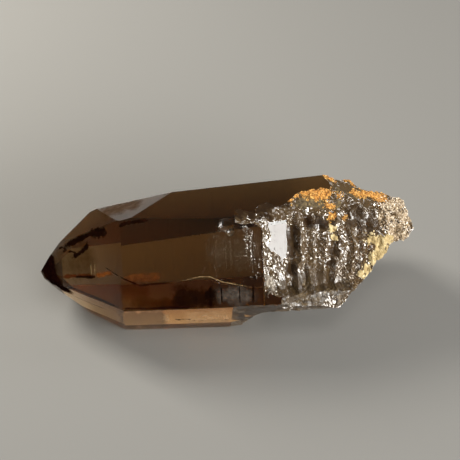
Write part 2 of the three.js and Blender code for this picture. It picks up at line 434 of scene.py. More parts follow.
# %% Node helper
class Nodes:
    def __init__(self, tree):
        self.tree = tree

    def add(self, kind, settings=None, **inputs):
        node = self.tree.nodes.new("ShaderNode" + kind)
        for key, value in (settings or {}).items():
            setattr(node, key, value)
        return self.fill(node, **inputs)

    def fill(self, node, **inputs):
        for key, value in inputs.items():
            number = key[1:] if key[0] == "i" else ""
            which = int(number) if number.isdigit() else key.replace("_", " ")
            self.feed(value, node.inputs[which])
        return node

    def math(self, operation, *values, clamp=False):
        node = self.add("Math", {"operation": operation, "use_clamp": clamp})
        for value, socket in zip(values, node.inputs):
            self.feed(value, socket)
        return node.outputs[0]

    def pattern(self, kind, size_mm, **inputs):
        scale = self.math("DIVIDE", MM_IN_A_METRE, size_mm)
        place = self.add("TexCoord").outputs["Object"]
        return self.add(kind, Vector=place, Scale=scale, **inputs)

    def carried(self, name):
        return self.add("Attribute", {"attribute_name": name}).outputs["Fac"]

    def feed(self, value, socket):
        if isinstance(value, bpy.types.NodeSocket):
            self.tree.links.new(value, socket)
        else:
            socket.default_value = value


# %% [markdown]
# ## Starting a material or a group
# A material starts from its Principled shader, and that stays in the material itself.
# A group starts from its named inputs and outputs, and each material gives it values of its own.

# %% Starting a material or a group
def new_material(name):
    m = bpy.data.materials.new(name)
    m.use_nodes = True
    return m, Nodes(m.node_tree), m.node_tree.nodes["Principled BSDF"]


def new_group(name, inputs, outputs):
    group = bpy.data.node_groups.new(name, "ShaderNodeTree")
    for label, kind, default in inputs:
        socket = group.interface.new_socket(label, in_out="INPUT", socket_type="NodeSocket" + kind)
        socket.default_value = default
    for label, kind in outputs:
        group.interface.new_socket(label, in_out="OUTPUT", socket_type="NodeSocket" + kind)
    start = group.nodes.new("NodeGroupInput").outputs
    end = group.nodes.new("NodeGroupOutput").inputs
    return group, Nodes(group), start, end


# %% [markdown]
# ## Glitter
# Each cell of a Voronoi pattern tips the surface its own way, so one cell mirrors the window and
# the next one doesn't.
# That is what sugary or broken quartz does, and noise bump only gives soft dents.
# A cell is a little wider than a tenth of a ledge, so single sparks can be told apart.

# %% Glitter group
glitter, n, start, end = new_group(
    "glitter", [("Cell Size mm", "Float", 0.3), ("Tip", "Float", 0.5)], [("Normal", "Vector")])
cells = n.pattern("TexVoronoi", start["Cell Size mm"])
spread = n.add("VectorMath", {"operation": "SUBTRACT"}, i0=cells.outputs["Color"], i1=(0.5, 0.5, 0.5))
amount = n.add("VectorMath", {"operation": "SCALE"}, i0=spread.outputs[0], Scale=start["Tip"])
facing = n.add("NewGeometry").outputs["Normal"]
total = n.add("VectorMath", {"operation": "ADD"}, i0=facing, i1=amount.outputs[0])
unit = n.add("VectorMath", {"operation": "NORMALIZE"}, i0=total.outputs[0])
n.feed(unit.outputs[0], end["Normal"])

# %% [markdown]
# ## Mineral tone
# No mineral is one colour: noise mixes a deep, a middle and a pale tone in patches.
# Grains carry a number of their own called tone, and it makes one grain paler than the next.
# On meshes without that number it reads as nothing, so the same group serves crusts and veils.

# %% Mineral tone group
tone, n, start, end = new_group(
    "mineral_tone",
    [("Deep", "Color", (0.1, 0.1, 0.1, 1)), ("Middle", "Color", (0.4, 0.4, 0.4, 1)),
     ("Pale", "Color", (0.8, 0.8, 0.8, 1)), ("Patch Size mm", "Float", 1.0)],
    [("Color", "Color")])
clouds = n.pattern("TexNoise", start["Patch Size mm"], Detail=4.0, Roughness=0.65)
nudge = n.math("MULTIPLY", n.carried("tone"), 0.3)
both = n.math("ADD", clouds.outputs[0], nudge)
low = n.add("MapRange", Value=both, From_Min=0.45, From_Max=0.65)
high = n.add("MapRange", Value=both, From_Min=0.62, From_Max=0.85)
first = n.add("Mix", {"data_type": "RGBA"}, i0=low.outputs[0], i6=start["Deep"], i7=start["Middle"])
second = n.add("Mix", {"data_type": "RGBA"}, i0=high.outputs[0], i6=first.outputs[2], i7=start["Pale"])
n.feed(second.outputs[2], end["Color"])

# %% [markdown]
# ## Ragged edge
# Crusts and veils carry a number called cover, high in the middle and low at the rim.
# Noise is added to it before it is cut off, so the rim breaks up into islands and lace.
# A wide softness turns the same cut into a smooth fade, which is how a veil ends in clear quartz.

# %% Ragged edge group
ragged_edge, n, start, end = new_group(
    "ragged_edge",
    [("Tatter Size mm", "Float", 0.8), ("Tatter", "Float", 0.8),
     ("Softness", "Float", 0.1), ("Most", "Float", 1.0)],
    [("Alpha", "Float")])
clouds = n.pattern("TexNoise", start["Tatter Size mm"], Detail=5.0, Roughness=0.7)
centred = n.math("SUBTRACT", clouds.outputs[0], 0.5)
strength = n.math("MULTIPLY", centred, start["Tatter"])
total = n.math("ADD", n.carried("cover"), strength)
over = n.math("SUBTRACT", total, 0.5)
steep = n.math("DIVIDE", over, start["Softness"], clamp=True)
limited = n.math("MULTIPLY", steep, start["Most"])
n.feed(limited, end["Alpha"])

# %% [markdown]
# ## Growth lines
# The prism faces grew in fine steps that cross the length of the point.
# They are noise stretched across the long axis, and only a bump uses them, very weakly.
# The ladder lines that a hand can feel are cut in the CAD model.

# %% Growth line group
growth_lines, n, start, end = new_group(
    "growth_lines", [("Line Width mm", "Float", 0.5), ("Length mm", "Float", 9.0)],
    [("Height", "Float")])
place = n.add("TexCoord").outputs["Object"]
per_line = n.math("DIVIDE", MM_IN_A_METRE, start["Line Width mm"])
per_length = n.math("DIVIDE", MM_IN_A_METRE, start["Length mm"])
factors = n.add("CombineXYZ", X=per_line, Y=per_length, Z=per_length)
stretched = n.add("VectorMath", {"operation": "MULTIPLY"}, i0=place, i1=factors.outputs[0])
lines = n.add("TexNoise", Vector=stretched.outputs[0], Scale=1.0, Detail=3.0)
n.feed(lines.outputs[0], end["Height"])
print("shader groups:", ", ".join(group.name for group in bpy.data.node_groups))

# %% [markdown]
# ## Quartz
# Smoky quartz is clear: all of the colour sits in the volume, as absorption, so thin places
# such as the lower strip are pale amber and the thick body is deep brown.
# A tinted surface would colour both the same, and scattering would turn the stone to jelly.
# Blue light is swallowed most and red least.

# %% Quartz maker
QUARTZ_IOR = 1.544
SMOKE_DENSITY = 180
SMOKE_COLOUR = (0.63, 0.44, 0.1, 1)


def quartz(name):
    m, n, shader = new_material(name)
    n.fill(shader, IOR=QUARTZ_IOR)
    smoke = n.add("VolumeAbsorption", Color=SMOKE_COLOUR, Density=SMOKE_DENSITY)
    n.fill(m.node_tree.nodes["Material Output"], Volume=smoke.outputs[0])
    return m, n, shader


# %% [markdown]
# ## The grown faces
# Their surface is bare quartz with faint smudges and the growth lines, over each face's finish.

# %% The grown faces
SMUDGE_SIZE = 6.0
clear, n, shader = quartz("smoky_quartz")
n.fill(shader, Base_Color=(1, 1, 1, 1), Transmission_Weight=1.0)
smudges = n.pattern("TexNoise", SMUDGE_SIZE, Detail=6.0, Roughness=0.7)
smudged = n.add("MapRange", Value=smudges.outputs[0], From_Min=0.5, From_Max=0.8, To_Max=0.1)
finish = n.math("ADD", n.carried("matte"), smudged.outputs[0])
lines = n.add("Group", {"node_tree": growth_lines}, Line_Width_mm=0.45, Length_mm=14.0)
bump = n.add("Bump", Strength=0.12, Distance=0.00005, Height=lines.outputs["Height"])
n.fill(shader, Roughness=finish, Normal=bump.outputs["Normal"])
print("quartz: index", QUARTZ_IOR, "and smoke density", SMOKE_DENSITY)

# %% [markdown]
# ## Glittering break
# The break is the same smoky quartz, but full of hairline cracks, so less light gets through it.
# A smooth coat with a high index stands for the fresh glassy shells and follows the crumpled form.
# The quartz under it carries the glitter, so small flashes and broad gleams lie over each other.
# Where the break is calm the coat fades and the cells lie almost flat, so the dark body shows.
# Haze makes those places paler and duller, as in the smear and the lobes.

# %% Glittering break
rough_break, n, shader = quartz("broken_quartz")
n.fill(shader, Transmission_Weight=0.7, Specular_IOR_Level=1.0, Coat_Roughness=0.04, Coat_IOR=1.8)
calm = n.carried("calm")
haze = n.carried("haze")
tip = n.add("MapRange", Value=calm, To_Min=0.62, To_Max=0.12)
coat = n.add("MapRange", Value=calm, To_Min=1.0, To_Max=0.0)
satin = n.add("MapRange", Value=calm, To_Min=0.06, To_Max=0.14)
dull = n.math("MULTIPLY_ADD", haze, 0.4, satin.outputs[0])
flashes = n.add("Group", {"node_tree": glitter}, Cell_Size_mm=0.38, Tip=tip.outputs[0])
n.fill(shader, Coat_Weight=coat.outputs[0], Roughness=dull, Normal=flashes.outputs["Normal"])
DARK_BROWN = (0.085, 0.042, 0.016, 1)
HAZY_BROWN = (0.34, 0.23, 0.12, 1)
WARM_BROWN = (0.31, 0.19, 0.08, 1)
smooth = n.add("Mix", {"data_type": "RGBA"}, i0=haze, i6=DARK_BROWN, i7=HAZY_BROWN)
hue = n.add("Mix", {"data_type": "RGBA"}, i0=calm, i6=WARM_BROWN, i7=smooth.outputs[2])
n.fill(shader, Base_Color=hue.outputs[2])

mesh.materials.append(clear)
mesh.materials.append(rough_break)
print("finishes of the quartz point:", ", ".join(m.name for m in mesh.materials))

# %% [markdown]
# ## Where minerals lie
# Each mineral has a list of patches, and a patch is a middle and a reach on the surface.
# The same list steers both the thin crust and the loose grains on it, so they always agree.
# - Iron sits along the top rim of the break and runs down in one streak.
# - Clay fills the lower right corner, and sugary quartz is the far right end.
# - Olive crust lies between the iron and the ledges, and the lower lobes are clouded.
# - Chips are the bruised white corner where the front face meets the break.

# %% Mineral patches
IRON = [
    ((15.6, 0.6, 23.8), 2.2), ((16.7, 2.2, 24.2), 2.0), ((17.8, 0.6, 23.6), 1.6),
    ((14.1, 0.9, 24.0), 1.3), ((12.7, -0.4, 23.8), 1.0), ((11.3, -1.6, 23.9), 0.9),
    ((18.2, -2.0, 22.7), 1.2), ((18.4, -3.8, 22.1), 1.0), ((24.0, 2.0, 22.2), 1.2),
    ((25.8, 2.8, 21.3), 1.5), ((27.6, 3.0, 20.5), 1.6), ((29.3, 3.2, 19.5), 1.4),
    ((21.2, -3.6, 21.1), 0.7), ((20.6, -0.2, 23.3), 0.9), ((18.8, 5.2, 23.0), 1.6),
    ((22.8, 5.4, 21.6), 1.4),
]
CLOUDED = [
    ((9.4, -14.0, 11.2), 1.5), ((12.4, -13.2, 11.5), 2.2), ((15.5, -12.6, 11.0), 2.4),
    ((18.9, -11.9, 11.0), 2.2), ((11.0, -12.0, 13.0), 1.4), ((14.0, -11.2, 12.8), 1.8),
    ((20.8, -10.6, 11.6), 1.4),
]
CLAY = [
    ((18.7, -4.8, 20.0), 1.0), ((19.1, -5.9, 18.7), 0.9), ((26.0, -5.0, 17.0), 1.3),
    ((28.0, -5.4, 16.2), 1.6), ((27.5, -6.0, 14.7), 1.7), ((26.3, -6.9, 13.6), 1.7),
    ((25.0, -7.9, 12.4), 1.6), ((29.1, -4.4, 16.5), 1.4), ((23.9, -9.0, 12.2), 1.0),
]
SUGAR = [
    ((29.0, -2.0, 19.8), 1.8), ((30.8, 1.7, 18.9), 2.6), ((32.6, 2.7, 18.2), 2.6),
    ((32.2, -1.5, 18.4), 2.6), ((30.4, -3.4, 18.0), 2.2), ((31.4, -3.8, 16.3), 2.0),
    ((33.0, 1.0, 15.5), 2.8), ((31.5, 6.0, 16.0), 2.8),
]
OLIVE = [
    ((13.5, -2.2, 23.6), 1.7), ((15.4, -1.9, 23.1), 1.8), ((17.0, -2.2, 22.8), 1.5),
    ((20.5, 1.5, 23.0), 1.6), ((22.5, 0.6, 22.4), 1.4), ((19.8, -1.5, 22.6), 1.3),
]
CHIPS = [
    ((6.6, -11.6, 14.4), 1.5), ((7.4, -11.8, 13.3), 1.4), ((6.9, -13.2, 12.4), 0.8),
    ((10.4, -14.0, 10.3), 0.9),
]
patches = {"iron": IRON, "clouded": CLOUDED, "clay": CLAY, "sugar": SUGAR, "olive": OLIVE, "chips": CHIPS}
print("patches:", ", ".join("%d %s" % (len(places), name) for name, places in patches.items()))


# %% [markdown]
# ## How near a place lies to its patches
# Nearness is one in the middle of a patch and falls to nothing at its rim.
# A wandering number made of noise is mixed in, so that no patch ends in a circle.
# Crusts, grains and veils all end in the same way, so one helper gives the mesh its finish, makes
# it an object and lets it ride on the crystal.

# %% Nearness, and adding a piece
COARSE_WANDER = 0.9
FINE_WANDER = 2.3
FINE_SHARE = 0.6
PATCH_REACH = 1.3


def wander(p):
    v = Vector(p)
    return noise.noise(v * COARSE_WANDER) + FINE_SHARE * noise.noise(v * FINE_WANDER)


surface["wander"] = np.array([wander(p) for p in surface["middle"]])


def nearness(points, wandering, places, ragged):
    near = np.zeros(len(points))
    for place, reach in places:
        far = np.linalg.norm(points - place, axis=1) / reach
        near = np.maximum(near, PATCH_REACH - far + ragged * wandering)
    return near.clip(0, 1)


def add_piece(name, data, material):
    data.materials.append(material)
    piece = bpy.data.objects.new(name, data)
    scene.collection.objects.link(piece)
    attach(piece, "root")
    print(name, len(data.polygons), "faces")


# %% [markdown]
# ## Crusts
# A crust is a thin skin over the break, lifted a few hundredths of a millimetre and wrinkled.
# It starts from the triangles of the break near its patches, so it follows every ledge.
# Its shader eats the edge away with noise, which gives lacy borders that grains cannot.

# %% Crust maker
BARELY_NEAR = 0.05
CRUST_WELD = 0.002
MEAN_HEIGHT = 0.5


def crust(name, material, places, lift, relief, wrinkle, ragged=0.5):
    near = nearness(surface["middle"], surface["wander"], places, ragged)
    chosen = surface["corners"][(near > BARELY_NEAR) & (surface["broken"] > 0)]
    skin = bmesh.new()
    for corners in chosen:
        skin.faces.new([skin.verts.new(c) for c in corners])
    bmesh.ops.remove_doubles(skin, verts=skin.verts, dist=CRUST_WELD)
    bmesh.ops.subdivide_edges(skin, edges=skin.edges[:], cuts=1, use_grid_fill=True)
    skin.normal_update()
    points = np.array([list(v.co) for v in skin.verts])
    wandering = np.array([wander(p) for p in points])
    cover = nearness(points, wandering, places, ragged)
    at = skin.verts.layers.float.new("cover")
    moved = []
    for v, amount in zip(skin.verts, cover):
        v[at] = amount
        height = lift + amount * relief * (MEAN_HEIGHT + noise.noise(v.co * wrinkle))
        moved.append((v.co + v.normal * height) * MM)
    for v, place in zip(skin.verts, moved):
        v.co = place
    data = bpy.data.meshes.new(name)
    skin.to_mesh(data)
    skin.free()
    add_piece(name, data, material)


# %% [markdown]
# ## Mineral finishes
# One maker serves every earthy finish: three tones, a roughness, perhaps a glassy coat, perhaps a
# ragged edge, and a fine grit that breaks the highlights up.
# Patch is the size of the patches in millimetres, and tatter holds the four values of the edge.

# %% Mineral finish maker
GRIT_SIZE = 0.12


def mineral(name, deep, middle, pale, patch, roughness, coat=0.0, tatter=None, shine=0.5):
    m, n, shader = new_material(name)
    hue = n.add(
        "Group", {"node_tree": tone},
        Deep=(*deep, 1), Middle=(*middle, 1), Pale=(*pale, 1), Patch_Size_mm=patch)
    n.fill(shader, Base_Color=hue.outputs["Color"], Roughness=roughness, Specular_IOR_Level=shine)
    n.fill(shader, Coat_Weight=coat, Coat_Roughness=0.05)
    if tatter:
        size, amount, softness, most = tatter
        edge = n.add(
            "Group", {"node_tree": ragged_edge},
            Tatter_Size_mm=size, Tatter=amount, Softness=softness, Most=most)
        n.fill(shader, Alpha=edge.outputs["Alpha"])
    grit = n.pattern("TexNoise", GRIT_SIZE, Detail=3.0)
    bump = n.add("Bump", Strength=0.6, Distance=0.00008, Height=grit.outputs[0])
    n.fill(shader, Normal=bump.outputs["Normal"])
    print("finish:", name)
    return m


# %% [markdown]
# ## The crusts
# Iron and clay are dull powders, so their roughness is high and they have no coat.
# Sugary and bruised quartz are glass in crumbs, so they get a coat over a pale body.
# After its patches, a crust is given its lift, its relief and how fine it is wrinkled.

# %% The crusts
IRON_TONES = ((0.27, 0.11, 0.02), (0.76, 0.36, 0.07), (0.95, 0.62, 0.2))
CLAY_TONES = ((0.42, 0.31, 0.14), (0.74, 0.6, 0.33), (0.9, 0.8, 0.56))
SUGAR_TONES = ((0.22, 0.15, 0.08), (0.6, 0.45, 0.29), (0.88, 0.77, 0.6))
BRUISE_TONES = ((0.2, 0.16, 0.12), (0.48, 0.42, 0.34), (0.78, 0.74, 0.66))
OLIVE_TONES = ((0.1, 0.07, 0.035), (0.25, 0.18, 0.08), (0.55, 0.42, 0.2))
CLOUDED_TONES = ((0.045, 0.027, 0.011), (0.135, 0.088, 0.038), (0.31, 0.215, 0.11))
iron_skin = mineral("iron_crust", *IRON_TONES, 0.55, 0.85, tatter=(0.55, 1.3, 0.12, 1.0))
clay_skin = mineral("cream_clay", *CLAY_TONES, 1.0, 0.85, tatter=(0.8, 1.2, 0.15, 1.0))
sugar_skin = mineral("sugary_quartz", *SUGAR_TONES, 0.5, 0.25, coat=1.0, tatter=(0.7, 1.0, 0.25, 0.9))
olive_skin = mineral("olive_crust", *OLIVE_TONES, 0.6, 0.8, tatter=(0.5, 1.9, 0.15, 0.9))
clouded_skin = mineral(
    "clouded_quartz", *CLOUDED_TONES, 0.9, 0.4, coat=0.25, tatter=(0.9, 1.5, 0.3, 0.85))
bruise_skin = mineral("bruised_quartz", *BRUISE_TONES, 0.7, 0.3, coat=0.6, tatter=(0.9, 0.8, 0.3, 0.9))
crust("iron_crust", iron_skin, IRON, 0.03, 0.22, 3.2)
crust("clouded_quartz", clouded_skin, CLOUDED, 0.02, 0.1, 2.4)
crust("cream_clay", clay_skin, CLAY, 0.04, 0.3, 1.6)
crust("sugary_quartz", sugar_skin, SUGAR, 0.03, 0.25, 3.5)
crust("olive_crust", olive_skin, OLIVE, 0.02, 0.12, 3.0)
crust("bruised_quartz", bruise_skin, CHIPS, 0.05, 0.45, 1.4, ragged=0.25)


# %% [markdown]
# ## Loose grains
# On the crusts lie single grains, each one its own bent ball turned at random.
# A ball of few triangles is enough, because even the largest grain is about a millimetre wide.

# %% Grain bodies
BALL_CUTS = 1


def grain_body():
    ball = bmesh.new()
    bmesh.ops.create_icosphere(ball, subdivisions=BALL_CUTS, radius=1.0)
    points = np.array([list(v.co) for v in ball.verts])
    triangles = np.array([[v.index for v in f.verts] for f in ball.faces])
    ball.free()
    return points, triangles


def random_turns(rng, count):
    q = rng.normal(size=(count, 4))
    w, x, y, z = (q / np.linalg.norm(q, axis=1)[:, None]).T
    return np.array([
        [1 - 2 * (y * y + z * z), 2 * (x * y - z * w), 2 * (x * z + y * w)],
        [2 * (x * y + z * w), 1 - 2 * (x * x + z * z), 2 * (y * z - x * w)],
        [2 * (x * z - y * w), 2 * (y * z + x * w), 1 - 2 * (x * x + y * y)],
    ]).transpose(2, 0, 1)


# %% [markdown]
# ## Scattering
# The grains of a mineral are joined into one mesh, since instances would be lost on the way out.
# A flat share below one presses a grain onto the surface like a flake.
# Heap lifts some of them above the others, where the patch is thickest.
# Few large grains look like popcorn, so there are many and most are small.

# %% Scattering
DENTS = 0.3
DEEPEST_DENT = 1.5
STRETCH = (0.6, 1.25)
RAGGED = 0.6


def scatter(name, material, places, count, sizes, seed, flat=0.6, heap=0.0, anywhere=False):
    rng = np.random.default_rng(seed)
    near = nearness(surface["middle"], surface["wander"], places, RAGGED)
    chance = near * near * surface["area"] * (1.0 if anywhere else surface["broken"])
    chosen = rng.choice(len(chance), count, p=chance / chance.sum())
    a, b = rng.random((2, count))
    a, b = np.where(a + b > 1, 1 - a, a)[:, None], np.where(a + b > 1, 1 - b, b)[:, None]
    corners = surface["corners"][chosen]
    spots = corners[:, 0] + a * (corners[:, 1] - corners[:, 0]) + b * (corners[:, 2] - corners[:, 0])
    out = surface["out"][chosen]
    radii = sizes[0] + (sizes[1] - sizes[0]) * rng.random(count) ** 2
    spots = spots + out * (heap * rng.random(count) * near[chosen])[:, None]
    body, triangles = grain_body()
    dents = rng.normal(size=(count, len(body), 1)).clip(-DEEPEST_DENT, DEEPEST_DENT)
    shapes = body[None] * (1 + DENTS * dents)
    shapes = shapes * rng.uniform(*STRETCH, (count, 1, 3)) * radii[:, None, None]
    shapes = np.einsum("nij,nkj->nki", random_turns(rng, count), shapes)
    depth = np.einsum("nki,ni->nk", shapes, out)
    shapes = shapes - (1 - flat) * depth[:, :, None] * out[:, None] + spots[:, None]
    faces = triangles[None] + (np.arange(count) * len(body))[:, None, None]
    data = bpy.data.meshes.new(name)
    data.from_pydata((shapes.reshape(-1, 3) * MM).tolist(), [], faces.reshape(-1, 3).tolist())
    own = data.attributes.new("tone", "FLOAT", "FACE")
    own.data.foreach_set("value", np.repeat(rng.random(count), len(triangles)).astype(np.float32))
    add_piece(name, data, material)


# %% [markdown]
# ## Grains on the crusts
# Grains are a size finer than their crust's patches, and they share its three tones.
# The white chips belong to the bruised corner, and they are flat, like splinters of glass.

# %% Grains
CHIP_TONES = ((0.45, 0.4, 0.32), (0.7, 0.66, 0.58), (0.9, 0.88, 0.82))
iron = mineral("iron_grain", *IRON_TONES, 0.4, 0.8)
sugar = mineral("sugary_grain", *SUGAR_TONES, 0.5, 0.2, coat=1.0)
clay = mineral("clay_grain", *CLAY_TONES, 0.6, 0.85)
chips = mineral("white_chip", *CHIP_TONES, 0.5, 0.2, coat=1.0)
scatter("iron_grains", iron, IRON, 2400, (0.05, 0.18), 5, heap=0.2)
scatter("clay_grains", clay, CLAY, 500, (0.06, 0.22), 7, heap=0.1)
scatter("sugary_grains", sugar, SUGAR, 2200, (0.08, 0.26), 9, heap=0.2, flat=0.9)
scatter("white_chips", chips, CHIPS, 60, (0.06, 0.22), 13, flat=0.5)

# %% [markdown]
# ## Veils and films
# A veil is a thin cloud or a healed crack just under a face, and a film is a dull skin on it. Many of
# them are painted shade instead, laid where the body only looks dark, and a few pale ones are painted
# light and painted highlights.
# Each one is a strip that follows a few points, pressed flat to its face and eaten ragged.
# The polish over a veil stays clean, and that is right for clouds.
# A film covers the polish and hides the mirrored floor. It stays dark where a sheet in the glass would
# turn grey under the mirrored floor, so it carries the painted shade of the dark end, and its cracks.
# A depth below nothing makes a film. Where films of different tones cross, their heights are a
# few thousandths of a millimetre apart, because two tones in one plane would flicker.

# %% Depths of veils and films
VEIL_SKIN = 0.06
VEIL_WAVE = 0.05
FILM = -0.004
UNDERCOAT = 1 * FILM
ON_FACE = 5 * FILM
print("most films lie between %.3f and %.3f mm over their face" % (-UNDERCOAT, -ON_FACE))

# %% [markdown]
# ## The form of a strip
# A strip runs from point to point, a little wider here and narrower there, and its cover fades
# towards its rim and its ends, where the ragged edge then eats it.
# Veils are wavy in depth, but a line or a film close to the face would cut through it, so it
# stays flat.
# A corner of it that would stick out past another face is pressed back to that face.

# %% The form of a strip
VEIL_STEPS = 60
VEIL_ROWS = 12
WAVE_FINENESS = 1.5
WIDTH_WANDER = 0.5
WIDTH_PACE = 9
LOOK_AROUND = 0.04
END_FADE = 4
MIDDLE_COVER = 1.15
RIM_LOSS = 0.9
PRESSES = 3


def along_path(points, t):
    spot = t * (len(points) - 1)
    k = min(int(spot), len(points) - 2)
    return points[k].lerp(points[k + 1], spot - k)


def kept_inside(p, face, skin):
    for _ in range(PRESSES):
        for flat in outermost:
            over = flat["way"].dot(p) - flat["out"] + skin
            if flat is not face and over > 0:
                p = p - flat["way"] * over
    return p


# %% [markdown]
# ## From a strip to a veil
# The path is first dropped onto the face, and then the strip is laid across it row by row.
# A grid of quads is enough, because the ragged edge is drawn by the shader.

# %% Veil maker
def face_strip(name, material, face, path, width, depth):
    way = face["way"]
    wave = VEIL_WAVE if depth >= VEIL_WAVE else 0
    points = [Vector(p) + way * (face["out"] - way.dot(Vector(p))) for p in path]
    verts, cover = [], []
    for i in range(VEIL_STEPS + 1):
        t = i / VEIL_STEPS
        later = along_path(points, min(t + LOOK_AROUND, 1))
        ahead = later - along_path(points, max(t - LOOK_AROUND, 0))
        wider = WIDTH_WANDER * noise.noise(Vector((WIDTH_PACE * t, width, 0)))
        across = way.cross(ahead).normalized() * (1 + wider)
        ends = min(1, END_FADE * t, END_FADE * (1 - t))
        for j in range(VEIL_ROWS + 1):
            s = 2 * j / VEIL_ROWS - 1
            p = along_path(points, t) + across * (s * width / 2)
            p = p - way * (depth + wave * (1 + noise.noise(p * WAVE_FINENESS)))
            verts.append(kept_inside(p, face, min(depth, VEIL_SKIN)) * MM)
            cover.append(ends * (MIDDLE_COVER - s * s * RIM_LOSS))
    faces = []
    for i in range(VEIL_STEPS):
        for j in range(VEIL_ROWS):
            a = i * (VEIL_ROWS + 1) + j
            faces.append((a, a + 1, a + VEIL_ROWS + 2, a + VEIL_ROWS + 1))
    data = bpy.data.meshes.new(name)
    data.from_pydata(verts, [], faces)
    data.attributes.new("cover", "FLOAT", "POINT").data.foreach_set("value", cover)
    add_piece(name, data, material)


def face_strips(face, rows):
    for name, material, width, depth, path in rows:
        face_strip(name, material, face, path, width, depth)


# %% [markdown]
# ## Veil finishes
# Veils have no shine of their own, because the quartz lies against them and no air does, and
# films have none because they are dull. With the usual shine both turn bluish grey.
# Maroon stands for cracks that throw the light away and also for painted shade along edges, and the ember
# and amber ones stand for iron in the cracks. Wine, dusk, ink, olive, caramel and the dark orange are
# painted shade, peach is painted light, and cream is painted highlight.
# A strong tatter with little softness makes a crack, and a weak tatter with much softness a cloud.

# %% Veil finishes
# Maroon is the hook, the squiggles and the dark start of the streak, and painted shade along the upper
# edges.
MAROON_CRACK_SHADE_TONES = ((0.006, 0.002, 0.001), (0.02, 0.006, 0.003), (0.05, 0.017, 0.008))
# Dusk is painted shade below the growth step.
DUSK_SHADE_TONES = ((0.012, 0.002, 0.0), (0.03, 0.006, 0.001), (0.06, 0.013, 0.003))
# Wine is painted shade: the dark end of the tip, the dark lines along edges and the shadow of the growth
# step.
WINE_SHADE_TONES = ((0.005, 0.001, 0.001), (0.015, 0.004, 0.002), (0.035, 0.011, 0.006))
EMBER = ((0.05, 0.008, 0.001), (0.11, 0.018, 0.003), (0.2, 0.04, 0.008))
AMBER = ((0.16, 0.035, 0.005), (0.34, 0.09, 0.012), (0.62, 0.22, 0.04))
DUST = ((0.16, 0.13, 0.09), (0.3, 0.25, 0.19), (0.45, 0.39, 0.31))
# Cream is painted highlight, on the growth step and on the pale uprights.
CREAM_HIGHLIGHT_TONES = ((0.3, 0.2, 0.09), (0.5, 0.37, 0.18), (0.62, 0.5, 0.28))
# Dark orange is painted shade below the growth step.
ORANGE_SHADE_TONES = ((0.02, 0.004, 0.001), (0.036, 0.008, 0.002), (0.06, 0.016, 0.003))
SLATE = ((0.055, 0.046, 0.038), (0.11, 0.094, 0.078), (0.18, 0.16, 0.14))
# Ink is painted shade, the nearly black body and the upright bands.
INK_SHADE_TONES = ((0.002, 0.001, 0.001), (0.006, 0.002, 0.001), (0.014, 0.005, 0.003))
# Peach is painted light on the bright lower strip.
PEACH_LIGHT_TONES = ((0.46, 0.29, 0.16), (0.66, 0.46, 0.28), (0.84, 0.66, 0.45))
# Olive is painted shade, a film that hides the grey mirrored floor on the tip face.
OLIVE_SHADE_TONES = ((0.022, 0.009, 0.002), (0.042, 0.018, 0.005), (0.07, 0.033, 0.011))
BARK = ((0.05, 0.025, 0.01), (0.095, 0.052, 0.024), (0.16, 0.1, 0.052))
# Caramel is painted shade behind the left end of the strip.
CARAMEL_SHADE_TONES = ((0.1, 0.05, 0.02), (0.18, 0.1, 0.045), (0.26, 0.15, 0.075))


def strip_finish(name, tones, patch, edge):
    return mineral(name, *tones, patch, 1.0, tatter=edge, shine=0.0)


maroon_crack_shade = strip_finish("maroon_crack_and_shade", MAROON_CRACK_SHADE_TONES, 0.8, (0.55, 2.2, 0.35, 1.0))
wine_shade = strip_finish("painted_shade_wine", WINE_SHADE_TONES, 0.5, (0.5, 0.8, 0.3, 1.0))
dusk_shade = strip_finish("painted_shade_dusk", DUSK_SHADE_TONES, 2.0, (2.5, 1.0, 0.7, 0.7))
ink_shade = strip_finish("painted_shade_ink", INK_SHADE_TONES, 0.8, (0.9, 1.6, 0.5, 0.85))
ember = strip_finish("ember_veil", EMBER, 1.2, (2.0, 1.5, 0.5, 0.75))
amber = strip_finish("amber_veil", AMBER, 0.9, (1.2, 1.0, 1.1, 0.95))
dust = strip_finish("dust_veil", DUST, 1.5, (0.6, 2.0, 1.1, 0.38))
cream_highlight = mineral("painted_highlight_line", *CREAM_HIGHLIGHT_TONES, 0.8, 0.7, tatter=(0.4, 3.0, 0.5, 0.7), shine=0.2)
glint_highlight = mineral("painted_glint_line", *CREAM_HIGHLIGHT_TONES, 0.8, 0.7, tatter=(0.8, 1.0, 0.6, 0.6), shine=0.2)
olive = strip_finish("painted_shade_olive", OLIVE_SHADE_TONES, 2.0, (2.5, 1.0, 0.7, 0.6))
orange_shade = strip_finish("painted_shade_orange", ORANGE_SHADE_TONES, 1.6, (2.0, 1.0, 0.7, 0.6))
slate = strip_finish("slate_veil", SLATE, 0.8, (1.2, 1.2, 0.8, 0.75))
peach_light = strip_finish("painted_light_peach", PEACH_LIGHT_TONES, 1.2, (1.5, 1.0, 0.8, 0.6))
bark = strip_finish("bark_veil", BARK, 1.0, (1.2, 1.2, 0.8, 0.75))
caramel_shade = strip_finish("painted_shade_caramel", CARAMEL_SHADE_TONES, 1.0, (1.2, 0.7, 0.4, 0.6))

# %% [markdown]
# ## Films of the tip
# The very end is painted shade in dull dark wine, and maroon painted shade runs along the upper edge,
# with a hooked crack and two small squiggles behind it. Under them all lies a faint olive film of painted
# shade, which hides the grey mirrored floor.
# Every row is a name, a finish, a width, a depth under the face, and the points on the way.

